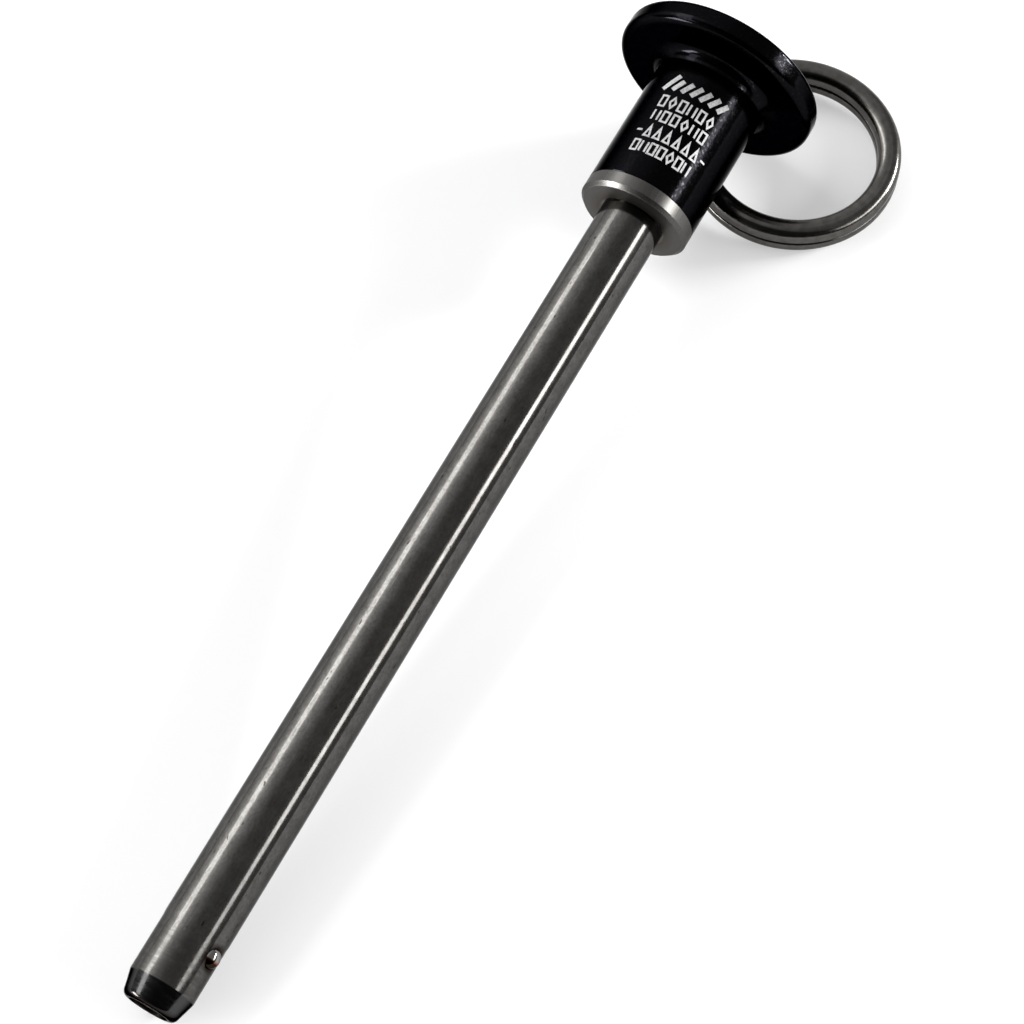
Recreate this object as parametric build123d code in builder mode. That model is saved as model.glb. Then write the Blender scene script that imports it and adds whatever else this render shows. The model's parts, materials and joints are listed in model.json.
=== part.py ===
from build123d import *

import os
from math import asin, atan2, cos, hypot, radians, sin, sqrt

os.makedirs("parts", exist_ok=True)

# A ball lock pin with a button handle and a split ring, lying on its side as
# it comes to rest. Millimetres. The origin is the centre of the shoulder's
# seating face. A station is a distance along the pin from that face: negative
# towards the nose, positive towards the button.

# Shank, with its shoulder and the spigot that holds the handle
shank_radius = 3.175
grip = 76.2
ball_setback = 3.3
ball_to_nose = 3.9
nose_length = 2.25
nose_relief = 0.04
relief_margin = 0.1
relief_blend = 0.5
nose_end_radius = 2.53
nose_round = 0.65
bore_radius = 1.8
mouth_chamfer = 0.12
shoulder_height = 1.6
shoulder_bevel_axial = 0.37
shoulder_bevel_radial = 0.42
spigot_radius = 4.2
spigot_length = 7.5
spigot_chamfer = 0.3

# Handle: body_radius is shared with the shoulder, which it meets flush
body_radius = 5.6
flange_station = 16.3
flange_thickness = 2.45
flange_radius = 10.25
under_round = 0.77
top_round = 0.65
neck_fillet = 1.2
joint_chamfer = 0.1
dish_radius = 5.3
dish_depth = 0.9

# Push button and its travel
button_radius = 3.85
button_height = 6.2
button_proud = 1.6
button_crown = 0.35
button_round = 0.5
travel = 2.8

# Spindle
spindle_radius = 1.72
stub_radius = 1.25
stub_length = 4.0
collar_radius = 1.74
collar_offset = 0.5
groove_radius = 1.14
groove_margin = 1.1
tip_recess = 0.3
tip_chamfer = 0.25

# Lock balls and their staked holes
ball_radius = 0.992
ball_proud = 0.47
ball_drop = 0.48
ball_angle = 71.5
lip_radius = 0.93
lip_depth = 0.09
stake_radius = 1.2
throat_depth = 0.38

# Return spring
spring_radius = 2.35
spring_wire_radius = 0.28
spring_turns = 6.5
spring_pocket_radius = 2.95
spring_pocket_depth = 5.0

# Split ring and its hole in the flange
ring_mid_radius = 9.4
wire_width = 2.28
wire_height = 1.6
wire_round = 0.95
seam_round = 0.3
coil_gap = 0.04
jog_start = -52.0
jog_arc = 32.0
jog_sections = 9
end_chamfer = 0.25
ring_hole_radius = 2.05
ring_hole_margin = 2.45
ring_slide = 0.5
ring_hole_angle = -170.0

# Clearances and fits
running_clearance = 0.05
ball_clearance = 0.03
press_overlap = 0.01
end_gap = 0.1

# Stations and radii that follow from the sizes above
ball_station = -(grip + ball_setback)
relief_start = ball_station + stake_radius + relief_margin
nose_radius = shank_radius - nose_relief
nose_start = ball_station - ball_to_nose
nose_end = nose_start - nose_length
spigot_end = shoulder_height + spigot_length
pocket_floor = spigot_end - spring_pocket_depth
flange_top = flange_station + flange_thickness
flange_middle = flange_station + flange_thickness / 2
button_top = flange_top + button_proud
button_base = button_top - button_height
spindle_end = nose_end + tip_recess
ring_hole_offset = flange_radius - ring_hole_margin

# The pin rests on the round under its flange and on the corner of its nose
rim_station = flange_station + under_round
rim_radius = flange_radius - under_round
support_run = rim_station - nose_start
support_rise = rim_radius - nose_radius
support_span = hypot(support_run, support_rise)
tilt = atan2(support_rise, support_run) + asin(under_round / support_span)
floor_height = nose_start * sin(tilt) - nose_radius * cos(tilt)

along = Vector(cos(tilt), 0, sin(tilt))
upward = Vector(-sin(tilt), 0, cos(tilt))
pin_axis = Axis((0, 0, 0), along)

# Sections are drawn below the axis, so that the seams of the turned faces lie underneath
lengthwise = Plane(origin=(0, 0, 0), x_dir=along, z_dir=(0, 1, 0))


def radial(angle):
    """The direction square to the pin, turned from upward towards the ring's side."""
    turn = radians(angle)
    return upward * cos(turn) + Vector(0, -1, 0) * sin(turn)


def across(station):
    """The plane square to the pin at a station, with its x direction upward."""
    return Plane(origin=along * station, x_dir=upward, z_dir=along)


# The locked balls sit on the spindle's land, and the ramp beside it lets them
# drop in step with the travel
ball_reach = shank_radius + ball_proud - ball_radius
land_radius = ball_reach - ball_radius - ball_clearance
ramp_slope = ball_drop / travel
ramp_gap = (ball_radius + ball_clearance) * sqrt(1 + ramp_slope**2)
ramp_start = ball_station + (ball_reach - land_radius - ramp_gap) / ramp_slope
groove_start = ramp_start + (land_radius - groove_radius) / ramp_slope
groove_end = ball_station + travel + groove_margin
collar_station = ball_station - collar_offset

ball_line = Plane(origin=along * ball_station, x_dir=-along, z_dir=radial(ball_angle - 90))
ball_axis = Axis(along * ball_station, radial(ball_angle))

# Shank: one turned stainless piece, with the shoulder, the spigot and the bore
with BuildPart() as shank:
    with BuildSketch(lengthwise):
        with BuildLine():
            Polyline(
                (nose_end, bore_radius + mouth_chamfer),
                (nose_end, nose_end_radius),
                (nose_start, nose_radius),
                (relief_start, nose_radius),
                (relief_start + relief_blend, shank_radius),
                (0, shank_radius),
                (0, body_radius - shoulder_bevel_radial),
                (shoulder_bevel_axial, body_radius),
                (shoulder_height, body_radius),
                (shoulder_height, spigot_radius),
                (spigot_end - spigot_chamfer, spigot_radius),
                (spigot_end, spigot_radius - spigot_chamfer),
                (spigot_end, spring_pocket_radius),
                (pocket_floor, spring_pocket_radius),
                (pocket_floor, bore_radius),
                (nose_end + mouth_chamfer, bore_radius),
                close=True,
            )
        make_face()
    revolve(axis=pin_axis)
    nose_corner = along * nose_end + upward * nose_end_radius
    fillet(shank.edges().sort_by_distance(nose_corner)[0], nose_round)
    with BuildSketch(ball_line):
        with BuildLine():
            Polyline(
                (0, 0),
                (ball_radius + ball_clearance, 0),
                (ball_radius + ball_clearance, nose_radius - throat_depth),
                (lip_radius, nose_radius - lip_depth),
                (stake_radius, nose_radius),
                (stake_radius, nose_radius + lip_depth),
                (0, nose_radius + lip_depth),
                close=True,
            )
        make_face()
        mirror(about=Plane.XZ)
    revolve(axis=ball_axis, mode=Mode.SUBTRACT)
shank.part.label = "shank"
export_step(shank.part, "parts/shank.step")

# Handle: turned aluminium, pressed on the spigot, with a thumb flange
with BuildPart() as handle:
    with BuildSketch(lengthwise):
        with BuildLine():
            Polyline(
                (shoulder_height, spigot_radius - press_overlap),
                (shoulder_height, body_radius - joint_chamfer),
                (shoulder_height + joint_chamfer, body_radius),
                (flange_station, body_radius),
                (flange_station, flange_radius),
                (flange_top, flange_radius),
                (flange_top, dish_radius),
                (flange_top - dish_depth, button_radius + running_clearance),
                (spigot_end + end_gap, button_radius + running_clearance),
                (spigot_end + end_gap, spigot_radius - press_overlap),
                close=True,
            )
        make_face()
    revolve(axis=pin_axis)
    corner_rounds = (
        (flange_station, body_radius, neck_fillet),
        (flange_station, flange_radius, under_round),
        (flange_top, flange_radius, top_round),
    )
    for station, radius, round_radius in corner_rounds:
        corner = along * station + upward * radius
        fillet(handle.edges().sort_by_distance(corner)[0], round_radius)
    ring_hole_centre = along * flange_middle + radial(ring_hole_angle) * ring_hole_offset
    with BuildSketch(Plane(origin=ring_hole_centre, x_dir=upward, z_dir=along)):
        Circle(ring_hole_radius)
    extrude(amount=flange_thickness, both=True, mode=Mode.SUBTRACT)
handle.part.label = "handle"
export_step(handle.part, "parts/handle.step")

# Push button: a stainless cap on the spindle's stub, crowned for the thumb
with BuildPart() as push_button:
    with BuildSketch(lengthwise) as button_section:
        with BuildLine():
            Line((button_base, stub_radius - press_overlap), (button_base, button_radius))
            Line((button_base, button_radius), (button_top - button_crown, button_radius))
            RadiusArc(
                (button_top - button_crown, button_radius),
                (button_top, 0),
                (button_radius**2 + button_crown**2) / (2 * button_crown),
            )
            Polyline(
                (button_top, 0),
                (button_base + stub_length + end_gap, 0),
                (button_base + stub_length + end_gap, stub_radius - press_overlap),
                (button_base, stub_radius - press_overlap),
            )
        make_face()
        rim = lengthwise.from_local_coords((button_top - button_crown, button_radius))
        fillet(button_section.vertices().sort_by_distance(rim)[0], button_round)
    revolve(axis=pin_axis)
push_button.part.label = "push_button"
export_step(push_button.part, "parts/push_button.step")

# Spindle: the rod that the button pushes, with the land, ramp and groove
with BuildPart() as spindle:
    with BuildSketch(lengthwise):
        with BuildLine():
            Polyline(
                (spindle_end, 0),
                (spindle_end, collar_radius - tip_chamfer),
                (spindle_end + tip_chamfer, collar_radius),
                (collar_station, collar_radius),
                (collar_station, land_radius),
                (ramp_start, land_radius),
                (groove_start, groove_radius),
                (groove_end, groove_radius),
                (groove_end + spindle_radius - groove_radius, spindle_radius),
                (button_base, spindle_radius),
                (button_base, stub_radius),
                (button_base + stub_length, stub_radius),
                (button_base + stub_length, 0),
                close=True,
            )
        make_face()
    revolve(axis=pin_axis)
spindle.part.label = "spindle"
export_step(spindle.part, "parts/spindle.step")

# Lock balls: two hardened balls, one on each side of the nose
for name, angle in (("lock_ball_1", ball_angle), ("lock_ball_2", ball_angle + 180)):
    centre = along * ball_station + radial(angle) * ball_reach
    with BuildPart(Plane(origin=centre, x_dir=-radial(angle), z_dir=along)) as lock_ball:
        Sphere(ball_radius)
    lock_ball.part.label = name
    export_step(lock_ball.part, f"parts/{name}.step")

# Return spring: round wire, with its ends ground flat on the pocket's floor
# and under the button
with BuildPart() as return_spring:
    spring_length = button_base - pocket_floor
    with BuildLine(across(pocket_floor)) as coil:
        Helix(
            pitch=spring_length / spring_turns,
            height=spring_length,
            radius=spring_radius,
            direction=along,
        )
    with BuildSketch(Plane(origin=coil.line @ 0, z_dir=coil.line % 0)):
        Circle(spring_wire_radius)
    sweep(path=coil.line, is_frenet=True)
    split(bisect_by=across(pocket_floor), keep=Keep.TOP)
    split(bisect_by=across(button_base), keep=Keep.BOTTOM)
return_spring.part.label = "return_spring"
export_step(return_spring.part, "parts/return_spring.step")

# The ring lies with its far edge on the surface and its near side in the
# flange's hole, so its droop follows from the two heights. It has slid a
# little way through the hole towards the button.
hole_height = ring_hole_centre.Z - floor_height - wire_round
ring_reach = 2 * ring_mid_radius + wire_width / 2 - wire_round
ring_stack = wire_height + coil_gap / 2 - wire_round
droop = asin(hole_height / hypot(ring_reach, ring_stack)) - atan2(ring_stack, ring_reach)
ring_normal = Vector(0, -sin(droop), cos(droop))
to_hole = Vector(0, cos(droop), sin(droop))
ring_centre = ring_hole_centre - to_hole * ring_mid_radius + Vector(ring_slide, 0, 0)


def ring_plane(angle):
    """The plane that cuts the ring square at an angle from the hole, about its normal."""
    turn = radians(angle)
    outward = to_hole * cos(turn) + ring_normal.cross(to_hole) * sin(turn)
    return Plane(origin=ring_centre, x_dir=outward, z_dir=outward.cross(ring_normal))


coil_level = (wire_height + coil_gap) / 2
jog_end = jog_start + jog_arc


def coil_section(angle, climb):
    """The wire's section at an angle, in the lower coil at climb 0 and the upper at climb 1.

    Its corners are well rounded outside the stack and nearly square at the seam.
    """
    lower_round = wire_round + (seam_round - wire_round) * climb
    upper_round = seam_round + (wire_round - seam_round) * climb
    with BuildSketch(ring_plane(angle)) as section:
        with Locations((ring_mid_radius, coil_level * (2 * climb - 1))):
            Rectangle(wire_width, wire_height)
        fillet(section.vertices().sort_by(Axis.Y)[:2], lower_round)
        fillet(section.vertices().sort_by(Axis.Y)[-2:], upper_round)
    return section.sketch


# Split ring: two coils of one wire, joined by a jog from layer to layer
with BuildPart() as split_ring:
    for climb in (0, 1):
        revolve(
            coil_section(jog_end, climb),
            axis=Axis(ring_centre, ring_normal),
            revolution_arc=360 - jog_arc,
        )
    shares = [step / (jog_sections - 1) for step in range(jog_sections)]
    loft(
        [
            coil_section(jog_start + jog_arc * share, share * share * (3 - 2 * share))
            for share in shares
        ]
    )
    for angle, level in ((jog_end, -coil_level), (jog_start, coil_level)):
        wire_end = ring_plane(angle).from_local_coords((ring_mid_radius, level))
        chamfer(split_ring.faces().sort_by_distance(wire_end)[0].edges(), end_chamfer)
split_ring.part.label = "split_ring"
export_step(split_ring.part, "parts/split_ring.step")
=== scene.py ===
import json
from math import asin, cos, pi, radians, sin, tan

import bpy
import numpy as np
from mathutils import Matrix, Vector


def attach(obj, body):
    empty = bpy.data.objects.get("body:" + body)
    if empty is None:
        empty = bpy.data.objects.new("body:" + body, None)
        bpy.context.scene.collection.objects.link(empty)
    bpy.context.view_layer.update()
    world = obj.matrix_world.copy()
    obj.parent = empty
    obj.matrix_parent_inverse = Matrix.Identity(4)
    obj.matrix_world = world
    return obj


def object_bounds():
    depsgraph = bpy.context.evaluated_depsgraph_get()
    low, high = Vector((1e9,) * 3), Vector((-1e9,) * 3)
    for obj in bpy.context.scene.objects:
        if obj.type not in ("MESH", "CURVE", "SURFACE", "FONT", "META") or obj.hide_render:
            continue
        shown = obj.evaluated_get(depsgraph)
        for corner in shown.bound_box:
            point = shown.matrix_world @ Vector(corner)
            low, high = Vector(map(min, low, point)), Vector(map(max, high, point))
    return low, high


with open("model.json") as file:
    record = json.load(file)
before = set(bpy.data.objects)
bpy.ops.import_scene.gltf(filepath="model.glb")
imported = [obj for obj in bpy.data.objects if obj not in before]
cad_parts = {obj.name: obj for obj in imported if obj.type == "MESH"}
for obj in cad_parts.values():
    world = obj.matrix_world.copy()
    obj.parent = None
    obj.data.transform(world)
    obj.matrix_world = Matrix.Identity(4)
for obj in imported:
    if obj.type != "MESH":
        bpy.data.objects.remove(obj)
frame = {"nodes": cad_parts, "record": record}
cad_low, cad_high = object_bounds()

# ---------------------------------------------------------------------------
# Shank
# One bar of stainless steel, turned and centreless ground to a dark satin, with
# its shoulder left brighter from the lathe. The nose is turned, so its marks
# run round it. Sizes are in millimetres, as stations along the pin.
# ---------------------------------------------------------------------------
MM = 0.001
mounts = frame["record"]["mounts"]
shank_mount = next(mount for mount in mounts if mount["name"] == "shank")
along = -Vector(shank_mount["axis"])
tilt = asin(along.z)
upward = Vector((-sin(tilt), 0, cos(tilt)))
shank_radius = shank_mount["dims"]["r_mm"]
nose_station = -shank_mount["dims"]["length_mm"]


class Graph:
    """A node tree, and short ways to add to it."""

    def __init__(self, tree):
        self.nodes = tree.nodes
        self.links = tree.links

    def node(self, kind, **settings):
        made = self.nodes.new(kind)
        for name, value in settings.items():
            setattr(made, name, value)
        return made

    def feed(self, socket, value):
        """Give a socket a number, a colour, or the output of another node."""
        if isinstance(value, (int, float)):
            socket.default_value = value
        elif isinstance(value, tuple):
            socket.default_value = (*value, 1)[: len(socket.default_value)]
        else:
            self.links.new(value, socket)

    def math(self, operation, first, second=0.0):
        made = self.node("ShaderNodeMath", operation=operation)
        self.feed(made.inputs[0], first)
        self.feed(made.inputs[1], second)
        return made.outputs["Value"]

    def ranged(self, value, low, high, to_low=0.0, to_high=1.0):
        """The value carried from one range to another, held at both ends."""
        made = self.node("ShaderNodeMapRange")
        made.inputs["From Min"].default_value = low
        made.inputs["From Max"].default_value = high
        made.inputs["To Min"].default_value = to_low
        made.inputs["To Max"].default_value = to_high
        self.links.new(value, made.inputs["Value"])
        return made.outputs["Result"]

    def turned(self, vector, scale):
        """A place or direction, scaled, with X turned along the pin and Z upward from it."""
        made = self.node("ShaderNodeMapping")
        made.inputs["Rotation"].default_value = (0, tilt, 0)
        made.inputs["Scale"].default_value = (scale, scale, scale)
        self.links.new(vector, made.inputs["Vector"])
        return made.outputs["Vector"]

    def parts(self, vector):
        """The X, Y and Z of a vector."""
        made = self.node("ShaderNodeSeparateXYZ")
        self.links.new(vector, made.inputs["Vector"])
        return made.outputs["X"], made.outputs["Y"], made.outputs["Z"]


class Finish(Graph):
    """A material and its nodes. Positions are in millimetres, with X along the pin.

    The edge is the share that is kept of a metal's rise in brightness at glancing angles.
    """

    def __init__(self, name, color, metallic, roughness, edge=1.0):
        self.material = bpy.data.materials.new(name)
        self.material.use_nodes = True
        super().__init__(self.material.node_tree)
        self.shader = self.nodes["Principled BSDF"]
        self.feed(self.shader.inputs["Base Color"], color)
        self.feed(self.shader.inputs["Metallic"], metallic)
        self.feed(self.shader.inputs["Roughness"], roughness)
        self.feed(self.shader.inputs["Specular Tint"], (edge, edge, edge))
        source = self.node("ShaderNodeTexCoord")
        self.position = self.turned(source.outputs["Object"], 1 / MM)

    def noise(self, scale, detail=3.0, roughness=0.55):
        """Noise with that many features a millimetre on each axis."""
        drawn = self.node("ShaderNodeMapping")
        drawn.inputs["Scale"].default_value = scale
        self.links.new(self.position, drawn.inputs["Vector"])
        made = self.node("ShaderNodeTexNoise")
        made.inputs["Scale"].default_value = 1.0
        made.inputs["Detail"].default_value = detail
        made.inputs["Roughness"].default_value = roughness
        self.links.new(drawn.outputs["Vector"], made.inputs["Vector"])
        return made.outputs["Fac"]

    def blended(self, share, first, second):
        """A colour between two others by a share from 0 to 1."""
        made = self.node("ShaderNodeMix", data_type="RGBA")
        self.links.new(share, made.inputs["Factor"])
        self.feed(made.inputs[6], first)
        self.feed(made.inputs[7], second)
        return made.outputs[2]

    def split(self):
        """Distance along the pin, and distance from its axis."""
        station, side, height = self.parts(self.position)
        square = self.math("ADD", self.math("POWER", side, 2.0), self.math("POWER", height, 2.0))
        return station, self.math("SQRT", square)

    def color(self, value):
        self.links.new(value, self.shader.inputs["Base Color"])

    def gloss(self, value):
        """Roughness that varies over the surface."""
        self.links.new(value, self.shader.inputs["Roughness"])

    def relief(self, height, depth):
        """Bumps of a height from 0 to 1 times a depth in millimetres."""
        made = self.node("ShaderNodeBump")
        made.inputs["Strength"].default_value = 1.0
        made.inputs["Distance"].default_value = depth * MM
        self.links.new(height, made.inputs["Height"])
        self.links.new(made.outputs["Normal"], self.shader.inputs["Normal"])

    def dress(self, *node_names):
        for name in node_names:
            piece = frame["nodes"][name]
            piece.data.materials.clear()
            piece.data.materials.append(self.material)


joints = frame["record"]["behaviour"]["joints"]
ball_joint = next(joint for joint in joints if joint["name"] == "ball_1_retract")
ball_line = Vector(ball_joint["axis"])
ball_points = np.array([vertex.co for vertex in frame["nodes"]["lock_ball_1"].data.vertices])
ball_station = along.dot(Vector((ball_points.min(0) + ball_points.max(0)) / 2)) / MM
ball_to_cone = 3.9
cone_start = ball_station - ball_to_cone
cone_length = 2.25
turned_from_wall = 1.6
seat_shade_brown = (0.066, 0.058, 0.05)
staked_brown = (0.018, 0.014, 0.011)
ground_dark, ground_pale = (0.052, 0.049, 0.045), (0.116, 0.114, 0.11)

shank_steel = Finish("shank_steel", ground_pale, 1.0, 0.15, edge=0.55)
station, radius = shank_steel.split()
grain = shank_steel.noise((0.12, 4.0, 4.0), detail=4.0)
mottle = shank_steel.noise((0.7, 1.1, 1.1), detail=6.0, roughness=0.7)
speckle = shank_steel.noise((3.5, 5.0, 5.0), detail=2.0)
turning = shank_steel.noise((3.2, 0.5, 0.5), detail=2.0)
streak = shank_steel.noise((0.2, 7.0, 7.0), detail=2.0)
nick = shank_steel.noise((1.0, 2.5, 2.5), detail=1.0)
turned_start = nose_station - turned_from_wall
on_turned = shank_steel.ranged(station, turned_start, turned_start + 0.4, 1.0, 0.0)
on_cone = shank_steel.ranged(station, cone_start - 0.15, cone_start, 1.0, 0.0)
lip_start, lip_end = cone_start - 0.7 * cone_length, cone_start - cone_length
on_lip = shank_steel.ranged(station, lip_end, lip_start, 1.0, 0.0)
on_shoulder = shank_steel.ranged(radius, shank_radius + 0.1, shank_radius + 0.3)
on_wall = shank_steel.ranged(station, 0.02, 0.1)

patches = shank_steel.math(
    "ADD",
    shank_steel.math("MULTIPLY", shank_steel.ranged(mottle, 0.3, 0.7), 0.6),
    shank_steel.math("MULTIPLY", shank_steel.ranged(speckle, 0.3, 0.7), 0.4),
)
wear_and_lip_shade = shank_steel.blended(patches, ground_dark, ground_pale)
scratched = shank_steel.ranged(streak, 0.66, 0.72, 0.0, 0.5)
wear_and_lip_shade = shank_steel.blended(scratched, wear_and_lip_shade, (0.16, 0.157, 0.15))
nicked = shank_steel.ranged(nick, 0.735, 0.765)
wear_and_lip_shade = shank_steel.blended(nicked, wear_and_lip_shade, (0.03, 0.026, 0.024))
tool_marks = shank_steel.ranged(turning, 0.4, 0.6)
turned_line = shank_steel.math("MULTIPLY", tool_marks, on_turned)
wear_and_lip_shade = shank_steel.blended(turned_line, wear_and_lip_shade, (0.066, 0.064, 0.06))
wear_and_lip_shade = shank_steel.blended(on_cone, wear_and_lip_shade, (0.055, 0.055, 0.056))
# The lip at the nose end is painted almost black: a painted reflection of the shaded floor under
# the nose
wear_and_lip_shade = shank_steel.blended(on_lip, wear_and_lip_shade, (0.013, 0.009, 0.007))

# The staked metal round the balls is dark, by the distance from their common line
beside = shank_steel.node("ShaderNodeVectorMath", operation="DOT_PRODUCT")
shank_steel.links.new(shank_steel.position, beside.inputs[0])
beside.inputs[1].default_value = Matrix.Rotation(tilt, 3, "Y") @ ball_line.cross(along)
apart = shank_steel.math(
    "SQRT",
    shank_steel.math(
        "ADD",
        shank_steel.math("POWER", shank_steel.math("SUBTRACT", station, ball_station), 2.0),
        shank_steel.math("POWER", beside.outputs["Value"], 2.0),
    ),
)
past_stakes = shank_steel.ranged(apart, 1.0, 1.5)
staked = shank_steel.blended(past_stakes, staked_brown, wear_and_lip_shade)
# Next to the shank the seat is painted darker and browner: painted shade where the seat meets
# the shank
towards_rim = shank_steel.ranged(radius, 3.4, 4.6)
seat = shank_steel.blended(towards_rim, seat_shade_brown, (0.093, 0.09, 0.086))
shank_steel.color(shank_steel.blended(on_shoulder, staked, seat))

# The shoulder's seat is the roughest, then its wall and the turned nose
rougher = shank_steel.math(
    "SUBTRACT",
    shank_steel.math("MULTIPLY", on_shoulder, 0.3),
    shank_steel.math("MULTIPLY", on_wall, 0.14),
)
rougher = shank_steel.math("ADD", rougher, shank_steel.math("MULTIPLY", turned_line, 0.08))
ground = shank_steel.ranged(grain, 0.3, 0.7, 0.1, 0.15)
shank_steel.gloss(shank_steel.math("ADD", ground, rougher))
shank_edge = shank_steel.blended(on_cone, (0.55, 0.55, 0.55), (0.2, 0.2, 0.2))
shank_steel.links.new(shank_edge, shank_steel.shader.inputs["Specular Tint"])
fine_grain = shank_steel.math(
    "ADD",
    shank_steel.math("MULTIPLY", grain, 0.5),
    shank_steel.math("MULTIPLY", mottle, 1.2),
)
turned_height = shank_steel.math("MULTIPLY", turned_line, 0.5)
shank_steel.relief(shank_steel.math("ADD", turned_height, fine_grain), 0.001)
shank_steel.dress("shank")

# ---------------------------------------------------------------------------
# Spindle
# A ground stainless rod that the button pushes through the shank. Only its
# flat tip shows, just inside the mouth of the nose.
# ---------------------------------------------------------------------------
spindle_steel = Finish("spindle_steel", (0.16, 0.155, 0.148), 1.0, 0.28)
ground_grain = spindle_steel.noise((3.0, 3.0, 3.0))
spindle_steel.gloss(spindle_steel.ranged(ground_grain, 0.3, 0.7, 0.22, 0.36))
spindle_steel.relief(spindle_steel.noise((6.0, 0.3, 0.3)), 0.001)
spindle_steel.dress("spindle")

# ---------------------------------------------------------------------------
# Lock balls
# Two hardened balls, polished bright, held in staked holes near the nose. On
# the nose's side they are painted dark brown, then orange: a painted reflection of the dark
# shank.
# ---------------------------------------------------------------------------
polished = (0.25, 0.24, 0.23)
painted_dark_reflection, painted_orange_reflection = (0.02, 0.013, 0.008), (0.2, 0.065, 0.025)
ball_steel = Finish("ball_steel", polished, 1.0, 0.06, edge=0.6)
ball_place, _ = ball_steel.split()
# Each ball's nose side is painted dark, then orange, then polished: a painted reflection
dark_to_orange = ball_steel.ranged(ball_place, ball_station - 0.35, ball_station - 0.25)
reflection_band = ball_steel.blended(dark_to_orange, painted_dark_reflection, painted_orange_reflection)
orange_to_polished = ball_steel.ranged(ball_place, ball_station - 0.25, ball_station - 0.05)
ball_steel.color(ball_steel.blended(orange_to_polished, reflection_band, polished))
ball_steel.gloss(ball_steel.ranged(ball_steel.noise((4.0, 4.0, 4.0)), 0.3, 0.7, 0.04, 0.09))
ball_steel.dress("lock_ball_1", "lock_ball_2")

# ---------------------------------------------------------------------------
# Handle
# Turned aluminium, anodized black and semi-gloss, with a thumb flange. Fine pale specks
# of wear are put only along the narrow strip's highlight line, so they are partly a painted
# highlight.
# ---------------------------------------------------------------------------
dye_black, pit_grey = (0.0044, 0.0044, 0.0052), (0.0085, 0.0085, 0.0095)
# The angle from upward towards the ring's side where the narrow strip's highlight falls on the
# handle
highlight_angle = 42
handle_anodize = Finish("handle_anodize", dye_black, 1.0, 0.18, edge=0.46)
pits = handle_anodize.noise((5.0, 5.0, 5.0), detail=2.0, roughness=0.7)
speck_noise = handle_anodize.noise((3.5, 4.5, 4.5), detail=3.0, roughness=0.75)
_, handle_side, handle_height = handle_anodize.parts(handle_anodize.position)
ringwards = handle_anodize.math("MULTIPLY", handle_side, -1.0)
handle_angle = handle_anodize.math("ARCTAN2", ringwards, handle_height)
past_highlight = handle_anodize.math("SUBTRACT", handle_angle, radians(highlight_angle))
from_highlight = handle_anodize.math("ABSOLUTE", past_highlight)
on_highlight = handle_anodize.ranged(from_highlight, radians(4), radians(12), 1.0, 0.0)
sparse = handle_anodize.ranged(speck_noise, 0.57, 0.64)
specks = handle_anodize.math("MULTIPLY", sparse, on_highlight)
black = handle_anodize.blended(handle_anodize.ranged(pits, 0.58, 0.66), dye_black, pit_grey)
# Pale specks of wear, only along the narrow strip's highlight line: real wear and in part a
# painted highlight
handle_anodize.color(handle_anodize.blended(specks, black, (0.034, 0.034, 0.035)))
handle_anodize.gloss(handle_anodize.ranged(pits, 0.35, 0.7, 0.09, 0.15))
handle_anodize.relief(pits, 0.003)
handle_anodize.dress("handle")

# ---------------------------------------------------------------------------
# Etched marks
# Five rows burnt into the anodizing with a laser, which leaves it pale grey.
# They are plain bars, frames, lozenges and arrows, and the arrows point to the
# button. Each row runs round the handle, with its top towards the flange.
# ---------------------------------------------------------------------------
handle_radius = 5.6
mark_height = 0.012
mark_sink = 0.03
stroke_width = 0.2


def raised_stroke(corners, width, closed):
    """Vertices and faces of a stroke along flat corners, as (across, station) in millimetres.

    At each corner the stroke's edge lies off the path by half its width over the cosine of half
    the turn, along the mean of the two sides' normals. The sides are cut into short steps, and
    the strip is then wrapped: across over the handle's radius is the angle round the pin.
    """
    corners = np.asarray(corners, float)
    sides = np.roll(corners, -1, 0) - corners
    sides /= np.linalg.norm(sides, axis=1, keepdims=True)
    before, after = np.roll(sides, 1, 0), sides
    if not closed:
        before[0], after[-1] = sides[0], sides[-2]
    normal_before = np.stack((-before[:, 1], before[:, 0]), 1)
    normal_after = np.stack((-after[:, 1], after[:, 0]), 1)
    mean = normal_before + normal_after
    mean /= np.linalg.norm(mean, axis=1, keepdims=True)
    offset = mean * (width / 2 / np.sum(mean * normal_after, 1, keepdims=True))
    left, right = corners + offset, corners - offset
    steps = 6
    share = np.arange(steps)[None, :, None] / steps
    count = len(corners) if closed else len(corners) - 1

    def stepped(edge):
        start, end = edge[:count, None], np.roll(edge, -1, 0)[:count, None]
        points = (start * (1 - share) + end * share).reshape(-1, 2)
        return points if closed else np.vstack((points, edge[-1:]))

    left, right = stepped(left), stepped(right)
    flat = np.stack((left, left, right, right), 1)
    level = handle_radius + np.array([mark_height, -mark_sink, -mark_sink, mark_height])
    angle = flat[..., 0] / handle_radius
    ringwards = np.array((0, -1, 0))
    upwards = (level * np.cos(angle))[..., None] * np.array(upward)
    sideways = (level * np.sin(angle))[..., None] * ringwards
    lengthways = flat[..., 1:2] * np.array(along)
    vertices = ((upwards + sideways + lengthways) * MM).reshape(-1, 3)
    cuts = len(flat)
    here = np.arange(cuts if closed else cuts - 1) * 4
    there = (here + 4) % (cuts * 4)
    quads = []
    for side in range(4):
        beside = (side + 1) % 4
        quads.append(np.stack((here + side, here + beside, there + beside, there + side), 1))
    faces = np.vstack(quads)
    if not closed:
        last = (cuts - 1) * 4
        faces = np.vstack((faces, [[3, 2, 1, 0], [last, last + 1, last + 2, last + 3]]))
    return vertices, faces


# Each shape is a list of paths, as corners and whether the path is closed
def framed(width, height):
    return [([(0, 0), (width, 0), (width, height), (0, height)], True)]


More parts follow.
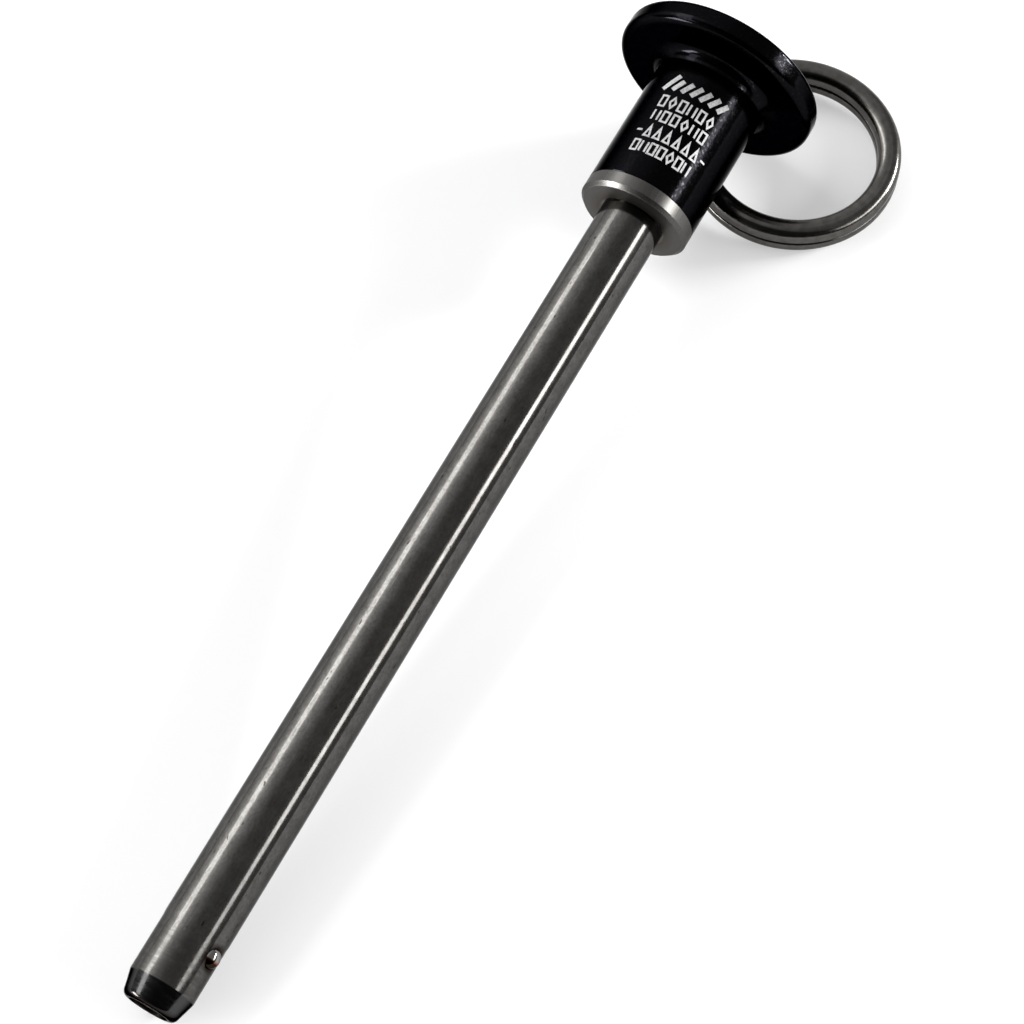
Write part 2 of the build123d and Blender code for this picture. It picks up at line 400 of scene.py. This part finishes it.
def barred(width, height):
    return [([(0, 0), (0, height)], False), ([(width, 0), (width, height)], False)]


def lozenge(width, height):
    return [([(width / 2, 0), (width, height / 2), (width / 2, height), (0, height / 2)], True)]


def arrow(width, height):
    return [([(0, 0), (width, 0), (width / 2, height)], True)]


def dash(width, height):
    return [([(0, height / 2), (width, height / 2)], False)]


shape_width = 0.6
# Each row: its foot, height, start and pitch in millimetres, and its shapes
rows = (
    (9.65, 1.2, -2.25, 1.02, (framed, lozenge, framed, barred, framed, lozenge)),
    (8.0, 1.14, -2.15, 1.02, (barred, framed, framed, lozenge, barred, framed)),
    (6.08, 1.14, -2.9, 1.02, (dash, arrow, arrow, arrow, arrow, arrow, arrow, dash)),
    (4.32, 1.16, -2.4, 0.93, (framed, barred, framed, framed, lozenge, framed, barred)),
)
strokes = []
for foot, height, start, pitch, shapes in rows:
    for place, shape in enumerate(shapes):
        for corners, closed in shape(shape_width, height):
            moved = [(start + place * pitch + x, foot + y) for x, y in corners]
            strokes.append(raised_stroke(moved, stroke_width, closed))
# The fifth row is a leaning tall bar and six short ones
bar_row_foot, bar_row_start, bar_pitch = 11.55, -2.8, 0.98
tall_bar, short_bar = (0, 1.8), (0.1, 1.3)
bar_slope = 1.1 / 1.8
bar_width = 0.5
for place, ends in enumerate((tall_bar,) + (short_bar,) * 6):
    start = bar_row_start + place * bar_pitch
    leaning = [(start + bar_slope * end, bar_row_foot + end) for end in ends]
    strokes.append(raised_stroke(leaning, bar_width, False))

before_stroke = np.cumsum([0] + [len(vertices) for vertices, _ in strokes[:-1]])
mark_vertices = np.vstack([vertices for vertices, _ in strokes])
mark_faces = np.vstack([faces + count for (_, faces), count in zip(strokes, before_stroke)])
mark_mesh = bpy.data.meshes.new("etched_marks")
mark_mesh.from_pydata(mark_vertices.tolist(), [], mark_faces.tolist())
mark_mesh.update()
etched_marks = bpy.data.objects.new("etched_marks", mark_mesh)
bpy.context.scene.collection.objects.link(etched_marks)
burnt_grey, burnt_pale = (0.22, 0.22, 0.225), (0.46, 0.46, 0.46)
etched_grey = Finish("etched_grey", burnt_pale, 0.0, 0.6)
burn = etched_grey.ranged(etched_grey.noise((6.0, 6.0, 6.0), detail=2.0), 0.3, 0.6)
etched_grey.color(etched_grey.blended(burn, burnt_grey, burnt_pale))
mark_mesh.materials.append(etched_grey.material)
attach(etched_marks, "pin_body")

# ---------------------------------------------------------------------------
# Return spring
# Drawn stainless wire, wound round the spindle under the button.
# ---------------------------------------------------------------------------
spring_wire = Finish("spring_wire", (0.3, 0.29, 0.28), 1.0, 0.3)
spring_wire.gloss(spring_wire.ranged(spring_wire.noise((5.0, 5.0, 5.0)), 0.3, 0.7, 0.24, 0.38))
spring_wire.dress("return_spring")

# ---------------------------------------------------------------------------
# Push button
# A turned stainless cap. The lathe leaves fine rings on its crown.
# ---------------------------------------------------------------------------
button_steel = Finish("button_steel", (0.2, 0.195, 0.187), 1.0, 0.3)
_, button_reach = button_steel.split()
lathe_rings = button_steel.node("ShaderNodeTexNoise", noise_dimensions="1D")
lathe_rings.inputs["Scale"].default_value = 6.0
button_steel.links.new(button_reach, lathe_rings.inputs["W"])
button_steel.gloss(button_steel.ranged(lathe_rings.outputs["Fac"], 0.3, 0.7, 0.22, 0.36))
off_centre = button_steel.ranged(button_reach, 0.2, 1.0)
rings_height = button_steel.math("MULTIPLY", lathe_rings.outputs["Fac"], off_centre)
button_steel.relief(rings_height, 0.002)
button_steel.dress("push_button")

# ---------------------------------------------------------------------------
# Split ring
# Two turns of flat stainless wire, tumbled to a dark semi-gloss.
# ---------------------------------------------------------------------------
tumbled_dark, tumbled_pale = (0.075, 0.071, 0.066), (0.115, 0.111, 0.105)
ring_steel = Finish("ring_steel", tumbled_dark, 1.0, 0.2, edge=0.65)
tumbled = ring_steel.ranged(ring_steel.noise((1.2, 1.2, 1.2), detail=4.0), 0.3, 0.7)
ring_steel.color(ring_steel.blended(tumbled, tumbled_dark, tumbled_pale))
ring_steel.gloss(ring_steel.ranged(ring_steel.noise((4.0, 4.0, 4.0)), 0.3, 0.7, 0.16, 0.24))
ring_steel.relief(ring_steel.noise((3.0, 3.0, 3.0)), 0.001)
ring_steel.dress("split_ring")

# ---------------------------------------------------------------------------
# Floor
# A plain white table top. It carries the object's shadow, and its own light is
# only for what looks at it: the camera, and what shines or is clear.
# ---------------------------------------------------------------------------
floor_half = 3.0
floor_glow = 0.39
floor_mesh = bpy.data.meshes.new("floor")
floor_corners = np.array([(-1, -1), (1, -1), (1, 1), (-1, 1)]) * floor_half
floor_points = np.column_stack((floor_corners, np.full(4, cad_low.z)))
floor_mesh.from_pydata(floor_points.tolist(), [], [(0, 1, 2, 3)])
floor = bpy.data.objects.new("floor", floor_mesh)
bpy.context.scene.collection.objects.link(floor)
floor_white = bpy.data.materials.new("floor_white")
floor_white.use_nodes = True
floor_tree = Graph(floor_white.node_tree)
floor_shader = floor_tree.nodes["Principled BSDF"]
floor_tree.feed(floor_shader.inputs["Base Color"], (0.55, 0.55, 0.55))
floor_tree.feed(floor_shader.inputs["Roughness"], 0.9)
floor_tree.feed(floor_shader.inputs["Specular IOR Level"], 0.0)
floor_tree.feed(floor_shader.inputs["Emission Color"], (1.0, 1.0, 1.0))
ray = floor_tree.node("ShaderNodeLightPath").outputs
looking = floor_tree.math("MAXIMUM", ray["Is Camera Ray"], ray["Is Glossy Ray"])
looking = floor_tree.math("MAXIMUM", looking, ray["Is Transmission Ray"])
own_light = floor_tree.math("MULTIPLY", looking, floor_glow)
floor_tree.feed(floor_shader.inputs["Emission Strength"], own_light)
floor_mesh.materials.append(floor_white)

# ---------------------------------------------------------------------------
# Lights
# A pale room, dimmer overhead and beyond the ring, with a broad softbox on the
# far side of the pin and a narrow strip on the ring's side that grows brighter
# towards the button. A far window behind the nose glints on the bevels.
# ---------------------------------------------------------------------------
world = bpy.data.worlds.new("room")
bpy.context.scene.world = world
world.use_nodes = True
sky = Graph(world.node_tree)
room = sky.nodes["Background"]
sky.feed(room.inputs["Color"], (1.0, 1.0, 1.0))
direction = sky.node("ShaderNodeTexCoord").outputs["Generated"]
lengthwise, side, height = sky.parts(sky.turned(direction, 1.0))
around = sky.math("ARCTAN2", sky.math("MULTIPLY", side, -1.0), height)


def room_band(stops):
    """Light by the angle about the pin, from upward towards the ring's side, in degrees."""
    made = sky.node("ShaderNodeValToRGB")
    sky.links.new(sky.ranged(around, -pi, pi), made.inputs["Fac"])
    ramp = made.color_ramp
    while len(ramp.elements) < len(stops):
        ramp.elements.new(0.5)
    for element, (angle, light) in zip(ramp.elements, stops):
        element.position = (angle + 180) / 360
        element.color = (light, light, light, 1)
    return made.outputs["Color"]


plain_stops = (
    (-90, 1.0), (-60, 0.9), (-18, 0.82), (-8, 0.68),
    (4, 0.42), (14, 0.35), (72, 0.3), (92, 0.3),
)
glow_stops = (
    (-86, 0.0), (-72, 1.0), (-60, 2.2), (-42, 2.3),
    (-33, 1.15), (-25, 0.45), (-16, 0.14), (-4, 0.0),
)
plain = room_band(plain_stops)
glow = room_band(glow_stops)
far_end = sky.ranged(lengthwise, 0.39, 0.45, 1.0, 0.0)
near_end = sky.ranged(lengthwise, -0.25, -0.05, 0.12, 1.0)
plain = sky.math("MULTIPLY", plain, near_end)
glow = sky.math("MULTIPLY", sky.math("MULTIPLY", glow, near_end), far_end)
sky.feed(room.inputs["Strength"], sky.math("ADD", plain, glow))

lamp_distance = 0.5


def softbox(name, angle, start, end, width_angle, radiance):
    """A rectangular lamp parallel to the pin, facing it.

    Its angle is turned from upward towards the ring's side, start and end are places along the
    pin in metres, and its power is pi times its area times the radiance that it shows.
    """
    facing = upward * cos(radians(angle)) + Vector((0, -1, 0)) * sin(radians(angle))
    data = bpy.data.lights.new(name, "AREA")
    data.shape = "RECTANGLE"
    data.size = end - start
    data.size_y = 2 * lamp_distance * tan(radians(width_angle / 2))
    data.energy = pi * data.size * data.size_y * radiance
    lamp = bpy.data.objects.new(name, data)
    bpy.context.scene.collection.objects.link(lamp)
    lamp.visible_camera = False
    middle = along * (start + end) / 2 + facing * lamp_distance
    turned = Matrix((along, facing.cross(along), facing)).transposed().to_4x4()
    lamp.matrix_world = Matrix.Translation(middle) @ turned
    return lamp


# Each softbox: its angle, start, end, width in degrees, and radiance
softbox("broad_softbox", -50, -0.12, 0.228, 17, 5.2)
softbox("broad_tail", -50, -0.4, -0.12, 17, 5.2)
softbox("narrow_strip_low", 65, -0.12, 0.02, 12, 4.5)
softbox("narrow_strip", 65, 0.02, 0.14, 12, 9.5)
softbox("narrow_strip_high", 65, 0.14, 0.36, 12, 14.0)
softbox("narrow_strip_end", 76, 0.33, 0.65, 6, 230.0)
softbox("far_window", -76, -0.77, -0.36, 18, 40.0)

# ---------------------------------------------------------------------------
# Camera
# Above the nose end of the pin, looking down at it across its length.
# ---------------------------------------------------------------------------
camera_data = bpy.data.cameras.new("camera")
camera_data.sensor_width = 36
camera_data.lens = 96.473
camera_data.clip_start, camera_data.clip_end = 0.01, 20
camera = bpy.data.objects.new("camera", camera_data)
bpy.context.scene.collection.objects.link(camera)
standpoint = Vector((-126.255, -68.824, 217.551)) * MM
right = Vector((0.49476, -0.86814, -0.03938)).normalized()
back = -Vector((0.38313, 0.25857, -0.88677)).normalized()
facing = Matrix((right, back.cross(right), back)).transposed().to_4x4()
camera.matrix_world = Matrix.Translation(standpoint) @ facing
bpy.context.scene.camera = camera
bpy.context.scene.view_settings.view_transform = "Standard"
